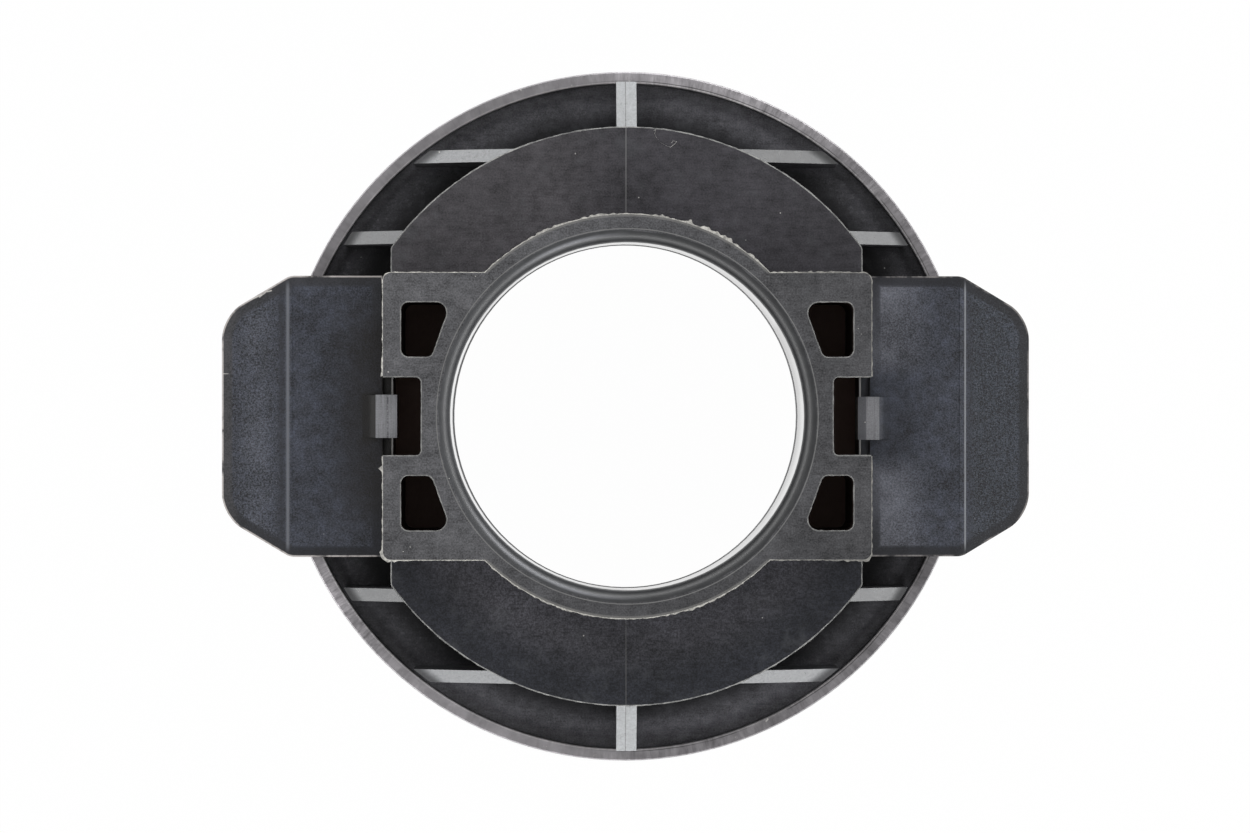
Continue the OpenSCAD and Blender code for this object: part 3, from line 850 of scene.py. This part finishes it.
# The +X tab sits a little off the middle
TAB_SHIFT = {"left": (0.0, 0.0), "right": (0.11 * MM, -0.19 * MM)}


def plate_plan(shift):
    """The flat blank of a plate, with its rounded corners and the slot that the tab was bent from."""
    off_x, off_y = shift
    slot_x = TAB_X + off_x + TAB_ROUND + TAB_FOOT
    slot_y = TAB_Y + SLIT
    half = [(FLAT_X, PLATE_Y), (CHAMFER_X, PLATE_Y), (WING_X, PLATE_Y - CHAMFER_Y)]
    slot = [(slot_x, off_y - slot_y), (slot_x, off_y + slot_y), (FLAT_X, off_y + slot_y)]
    corners = slot + half + [(x, -y) for x, y in reversed(half)] + [(FLAT_X, off_y - slot_y)]
    bm = bmesh.new()
    verts = [bm.verts.new((x, y, PLATE_TOP_Z)) for x, y in corners]
    bm.faces.new(verts)
    shoulder, wing_end = len(slot) + 1, len(slot) + 2
    for first, cut in ((shoulder, SHOULDER_CUT), (wing_end, WING_CUT)):
        mirrored = 2 * wing_end + 1 - first
        bmesh.ops.bevel(bm, geom=[verts[first], verts[mirrored]], affect="VERTICES", offset=cut,
                        segments=CORNER_STEPS, profile=0.5, material=-1)
    return bm


def roll_edges(bm, top):
    """Insets the top step by step and lets its edge fall, with how rolled it is as an attribute."""
    rolled = bm.verts.layers.float["rolled"]
    levels = {}
    level = (ROLL_DEPTH, 1.0)
    for width, left, share in ROLL_STEPS:
        made = bmesh.ops.inset_region(bm, faces=top, thickness=width * MM, use_even_offset=True,
                                      use_boundary=True)
        inner = {vert for face in top for edge in face.edges for vert in edge.verts
                 if len([other for other in edge.link_faces if other in top]) == 1}
        levels.update({vert: level for face in made["faces"] for vert in face.verts if vert not in inner})
        level = (left, share)
        levels.update({vert: level for vert in inner})
    for vert, (fall, share) in levels.items():
        if vert.co.x > STRIP_X + ROLL_FREE or abs(vert.co.y) > PLATE_Y - ROLL_WIDTH:
            vert.co.z -= fall * MM
            vert[rolled] = share


def stamped_plate(side, finish):
    """A plate built on the +X side: blank, bend, rolled edges and tab, and mirrored for the left."""
    bm = plate_plan(TAB_SHIFT[side])
    bm.verts.layers.float.new("rolled")
    made = bmesh.ops.extrude_face_region(bm, geom=bm.faces[:])
    bmesh.ops.translate(bm, verts=verts_of(made["geom"]), vec=(0, 0, -PLATE_T))
    bmesh.ops.recalc_face_normals(bm, faces=bm.faces)
    for x in (STRIP_X - TUCK_SLOPE, STRIP_X, BEND_X):
        geom = bm.verts[:] + bm.edges[:] + bm.faces[:]
        bmesh.ops.bisect_plane(bm, geom=geom, plane_co=(x, 0, 0), plane_no=(1, 0, 0))
    top = [face for face in bm.faces if face.normal.z > 0.9 and face.calc_center_median().x > STRIP_X]
    for vert in bm.verts:
        if vert.co.x > BEND_X:
            vert.co.z -= (vert.co.x - BEND_X) * math.tan(BEND)
        if vert.co.x < STRIP_X - 0.8 * TUCK_SLOPE and vert.co.z > PLATE_TOP_Z - TUCK:
            vert.co.z -= TUCK
    roll_edges(bm, top)
    bent_tab(bm, TAB_SHIFT[side])
    if side == "left":
        bmesh.ops.scale(bm, vec=(-1, 1, 1), verts=bm.verts)
    bmesh.ops.recalc_face_normals(bm, faces=bm.faces)
    piece(bm, f"stamped_plate_{side}", "carrier", [finish], [f"fork_plate_{side}"],
          crisp=False)


def bent_tab(bm, shift):
    """The sheet's end face is drawn inwards, spun up through the bend and drawn up to the tab's top."""
    off_x, off_y = shift
    bend_x = TAB_X + off_x + TAB_ROUND
    start_x = bend_x + TAB_FOOT
    low, high = PLATE_TOP_Z - PLATE_T, PLATE_TOP_Z
    ends = [(-TAB_Y, low), (TAB_Y, low), (TAB_Y, high), (-TAB_Y, high)]
    face = bm.faces.new([bm.verts.new((start_x, off_y + y, z)) for y, z in ends])
    drawn = bmesh.ops.extrude_face_region(bm, geom=[face])["geom"]
    bmesh.ops.translate(bm, verts=verts_of(drawn), vec=(bend_x - start_x, 0, 0))
    face = faces_of(drawn)[0]
    spun = bmesh.ops.spin(bm, geom=[face] + face.edges[:] + face.verts[:], cent=(bend_x, 0, high + TAB_ROUND),
                          axis=(0, 1, 0), angle=math.radians(90), steps=CORNER_STEPS, use_duplicate=False)
    face = faces_of(spun["geom_last"])[0]
    drawn = bmesh.ops.extrude_face_region(bm, geom=[face])["geom"]
    bmesh.ops.delete(bm, geom=[face], context="FACES_ONLY")
    top = verts_of(drawn)
    bmesh.ops.translate(bm, verts=top, vec=(0, 0, TAB_TOP_Z - top[0].co.z))


# Dust and lint lying on the sleeve

# Places in millimetres: x, y, z and radius of each grain
GRAINS = [(22.36, -0.56, 38.6, 0.055), (-4.87, 24.8, DRUM, 0.055), (14.5, 19.2, DRUM, 0.07),
          (-17.75, 25.0, 35.85, 0.09), (-14.2, 13.08, END, 0.06), (-20.95, -12.63, END, 0.05),
          (-20.3, -12.2, END, 0.05), (-16.65, -5.8, END, 0.045), (17.4, 21.7, 29.0, 0.06),
          (18.9, 20.5, 29.0, 0.05), (21.6, 8.2, END, 0.04), (21.9, 7.7, END, 0.035)]
# The hair's way over the drum, in millimetres of x and y
LINT = [(2.55, 26.95), (2.75, 27.15), (2.62, 26.7), (2.8, 26.3), (3.2, 25.85), (3.6, 25.6), (4.1, 25.4),
        (4.55, 25.75), (4.7, 25.95), (4.35, 26.0), (4.2, 25.8)]
LINT_R = 0.02 * MM
LINT_LIFT = 0.06 * MM


def dust_grains(finish):
    bm = bmesh.new()
    for x, y, z, size in GRAINS:
        made = bmesh.ops.create_icosphere(bm, subdivisions=2, radius=size * MM)
        bmesh.ops.translate(bm, verts=made["verts"], vec=(x * MM, y * MM, z * MM))
    piece(bm, "dust_grains", "carrier", [finish])


def lint_hair(finish):
    """A thin hair: a small ring of vertices drawn from place to place."""
    bm = bmesh.new()
    places = [Vector((x * MM, y * MM, DRUM_Z + LINT_LIFT)) for x, y in LINT]
    heading = (places[1] - places[0]).to_track_quat("Z", "Y").to_matrix().to_4x4()
    made = bmesh.ops.create_circle(bm, cap_ends=True, segments=6, radius=LINT_R, matrix=heading)
    bmesh.ops.translate(bm, verts=made["verts"], vec=places[0])
    ring = list({edge for vert in made["verts"] for edge in vert.link_edges})
    for last, place in zip(places, places[1:]):
        drawn = bmesh.ops.extrude_edge_only(bm, edges=ring)["geom"]
        bmesh.ops.translate(bm, verts=verts_of(drawn), vec=place - last)
        ring = [edge for edge in edges_of(drawn) if edge.is_boundary]
    bmesh.ops.edgeloop_fill(bm, edges=ring)
    bmesh.ops.recalc_face_normals(bm, faces=bm.faces)
    piece(bm, "lint_hair", "carrier", [finish])


# Cup, rings and seals

RIM_ROUND = 0.12 * MM


def drawn_cup(finish):
    bm = merged_copy("retaining_cup")
    round_edges(bm, sharp_edges(bm, at_height(RIM_Z)), RIM_ROUND)
    piece(bm, "drawn_cup", "carrier", [finish], ["retaining_cup"])


def turned_ring(node, name, body, finish, width):
    bm = merged_copy(node)
    round_edges(bm, sharp_edges(bm, lambda edge: True), width)
    piece(bm, name, body, [finish], [node])


# All pieces, with their finishes

moulded_sleeve([moulded_plastic(), rib_crown(), guide_land(), bore_foot()])
end_edge = at_height(END_Z)
burr_ribbon("end_face_flash", lambda edge: end_edge(edge) and on_outline(edge), flash_height, flash())
burr_ribbon("core_out_burr", lambda edge: end_edge(edge) and not on_outline(edge), burr_height,
            pale_edge("rubbed_core_out_edge", 0.12, 0.30))
burr_ribbon("drum_burr", at_height(DRUM_Z), burr_height, pale_edge("rubbed_drum_edge", 0.16, 0.46))
powder = dust()
dust_grains(powder)
lint_hair(powder)
steel = phosphated_steel()
for side in ("left", "right"):
    stamped_plate(side, steel)
drawn_cup(cup_steel())
race = turned_steel("ground_bearing_steel", RACE_GREY, 0.26, 14.0)
rubber = seal_rubber()
turned_ring("thrust_ring", "ground_thrust_ring", "nose", race, 0.15 * MM)
turned_ring("outer_ring", "ground_outer_ring", "bearing", race, 0.12 * MM)
turned_ring("front_seal", "lipped_front_seal", "bearing", rubber, 0.1 * MM)
turned_ring("rear_seal", "lipped_rear_seal", "bearing", rubber, 0.1 * MM)
turned_ring("disc_spring", "conical_spring", "spring_seat",
            turned_steel("tempered_spring_steel", SPRING_GREY, 0.32, 8.0), 0.06 * MM)

ball_steel = polished_ball()
cage = cage_plastic()
for name, obj in nodes.items():
    if name.startswith("ball_"):
        obj.data.materials.clear()
        obj.data.materials.append(cage if name == "ball_cage" else ball_steel)


# Floor, light and camera

# The paper, the ring of lamps and the world, in metres and plain light levels
FLOOR_HALF = 1.5
FLOOR_GAP = 0.05 * MM
PAPER_WHITE = 0.95
GLOW_SHARE = 0.985
RING_LAMPS = 8
RING_DISTANCE = 0.6
RING_ELEVATION = math.radians(28)
RING_HEIGHT = 0.17
RING_RADIANCE = 3.6
RIGHT_SHARE = 0.12
AMBIENT = 0.2
CEILING = 0.25
CEILING_FROM, CEILING_TO = 0.5, 0.85
# The camera, in metres, with its lens and sensor in millimetres
CAMERA_X = -5.4 * MM
CAMERA_Z = 0.34
LENS = 92.45
SENSOR = 36.0
SHIFT_X = -0.0005
SHIFT_Y = -0.00016


def seen_directly(tree):
    """1 for what the camera sees itself, in a mirror or through glass."""
    path = tree.nodes.new("ShaderNodeLightPath")
    total = None
    for name in ("Is Camera Ray", "Is Glossy Ray", "Is Transmission Ray"):
        if total is None:
            total = path.outputs[name]
            continue
        most = tree.nodes.new("ShaderNodeMath")
        most.operation = "MAXIMUM"
        tree.links.new(total, most.inputs[0])
        tree.links.new(path.outputs[name], most.inputs[1])
        total = most.outputs[0]
    return total


def white_floor():
    """Paper that takes the shadow, and shows white where it is seen directly."""
    bm = bmesh.new()
    bmesh.ops.create_grid(bm, x_segments=1, y_segments=1, size=FLOOR_HALF,
                          matrix=Matrix.Translation((0, 0, -FLOOR_GAP)))
    mesh = bpy.data.meshes.new("white_floor")
    bm.to_mesh(mesh)
    bm.free()
    material = bpy.data.materials.new("white_paper")
    material.use_nodes = True
    tree = material.node_tree
    paper = tree.nodes["Principled BSDF"]
    paper.inputs["Base Color"].default_value = (PAPER_WHITE, PAPER_WHITE, PAPER_WHITE, 1)
    paper.inputs["Roughness"].default_value = 0.9
    glow = tree.nodes.new("ShaderNodeEmission")
    mix = tree.nodes.new("ShaderNodeMixShader")
    share = tree.nodes.new("ShaderNodeMath")
    share.operation = "MULTIPLY"
    share.inputs[1].default_value = GLOW_SHARE
    tree.links.new(seen_directly(tree), share.inputs[0])
    tree.links.new(share.outputs[0], mix.inputs[0])
    tree.links.new(paper.outputs[0], mix.inputs[1])
    tree.links.new(glow.outputs[0], mix.inputs[2])
    tree.links.new(mix.outputs[0], tree.nodes["Material Output"].inputs["Surface"])
    mesh.materials.append(material)
    floor = bpy.data.objects.new("white_floor", mesh)
    scene.collection.objects.link(floor)


def soft_world():
    """A low even light with a darker ceiling, which shows white where it is seen directly."""
    world = bpy.data.worlds.new("soft_world")
    world.use_nodes = True
    tree = world.node_tree
    background = tree.nodes["Background"]
    level = tree.nodes.new("ShaderNodeMapRange")
    level.inputs["To Min"].default_value = AMBIENT
    level.inputs["To Max"].default_value = 1.0
    tree.links.new(seen_directly(tree), level.inputs["Value"])
    tree.links.new(level.outputs[0], background.inputs["Strength"])
    split = tree.nodes.new("ShaderNodeSeparateXYZ")
    tree.links.new(tree.nodes.new("ShaderNodeTexCoord").outputs["Generated"], split.inputs[0])
    ceiling = tree.nodes.new("ShaderNodeMapRange")
    ceiling.inputs["From Min"].default_value = CEILING_FROM
    ceiling.inputs["From Max"].default_value = CEILING_TO
    ceiling.inputs["To Min"].default_value = 1.0
    ceiling.inputs["To Max"].default_value = CEILING
    tree.links.new(split.outputs["Z"], ceiling.inputs["Value"])
    tree.links.new(ceiling.outputs[0], background.inputs["Color"])
    scene.world = world


def ring_of_lamps():
    """Area lamps side by side in a ring round the part, a little stronger on the right."""
    width = 2 * math.pi * RING_DISTANCE * math.cos(RING_ELEVATION) / RING_LAMPS
    for i in range(RING_LAMPS):
        turn = 2 * math.pi * (i + 0.5) / RING_LAMPS
        level = math.cos(RING_ELEVATION)
        toward = Vector((math.cos(turn) * level, math.sin(turn) * level, math.sin(RING_ELEVATION)))
        lamp = bpy.data.lights.new(f"ring_lamp_{i + 1}", "AREA")
        lamp.shape = "RECTANGLE"
        lamp.size = width
        lamp.size_y = RING_HEIGHT
        lamp.energy = math.pi * width * RING_HEIGHT * RING_RADIANCE * (1 + RIGHT_SHARE * math.cos(turn))
        obj = bpy.data.objects.new(lamp.name, lamp)
        obj.location = toward * RING_DISTANCE + Vector((0, 0, END_Z))
        obj.rotation_euler = toward.to_track_quat("Z", "Y").to_euler()
        scene.collection.objects.link(obj)


def photo_camera():
    """Looks down on the end face from a little to the left, aimed at the axis at the rim's height."""
    camera = bpy.data.cameras.new("camera")
    camera.lens = LENS
    camera.sensor_width = SENSOR
    camera.shift_x = SHIFT_X
    camera.shift_y = SHIFT_Y
    obj = bpy.data.objects.new("camera", camera)
    obj.location = (CAMERA_X, 0, CAMERA_Z)
    obj.rotation_euler = (0, math.atan2(CAMERA_X, CAMERA_Z - RIM_Z), 0)
    scene.collection.objects.link(obj)
    scene.camera = obj


white_floor()
soft_world()
ring_of_lamps()
photo_camera()
scene.view_settings.view_transform = "Standard"
